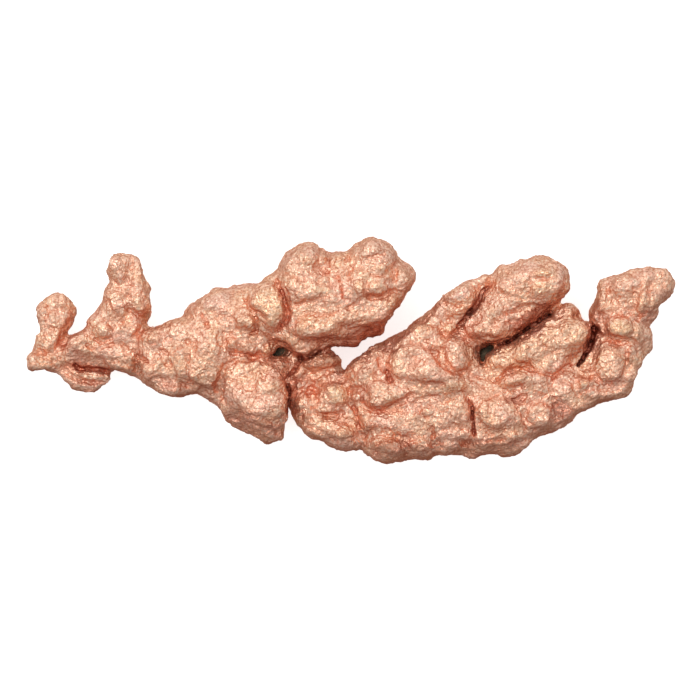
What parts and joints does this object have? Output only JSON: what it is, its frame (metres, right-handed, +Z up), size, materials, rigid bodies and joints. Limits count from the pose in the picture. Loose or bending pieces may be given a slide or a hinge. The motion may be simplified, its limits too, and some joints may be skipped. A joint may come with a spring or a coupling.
{
  "type": "native copper nugget",
  "caption": "Long branching nugget of native copper, crumpled like foil, with fused lobes and finger-like arms, lying flat on its broad back.",
  "frame": {"origin": "centre of the bounding box, on the surface that the nugget lies on", "axes": "+X along the nugget, from the thin finger at its left to the arm at its right; +Y towards the side with the thumb, the upper lobe and the fingers; +Z up, away from the worn back"},
  "size_m": [0.09, 0.0316, 0.0137],
  "materials": {
    "native_copper": "bright clean native copper, crumpled, with orange-red crevices",
    "host_rock": "dark grey-green broken host rock, matte"
  },
  "bodies": {
    "root": {"copper_nugget": "native_copper", "host_rock_chip_left": "host_rock", "host_rock_chip_right": "host_rock"}
  },
  "joints": []
}
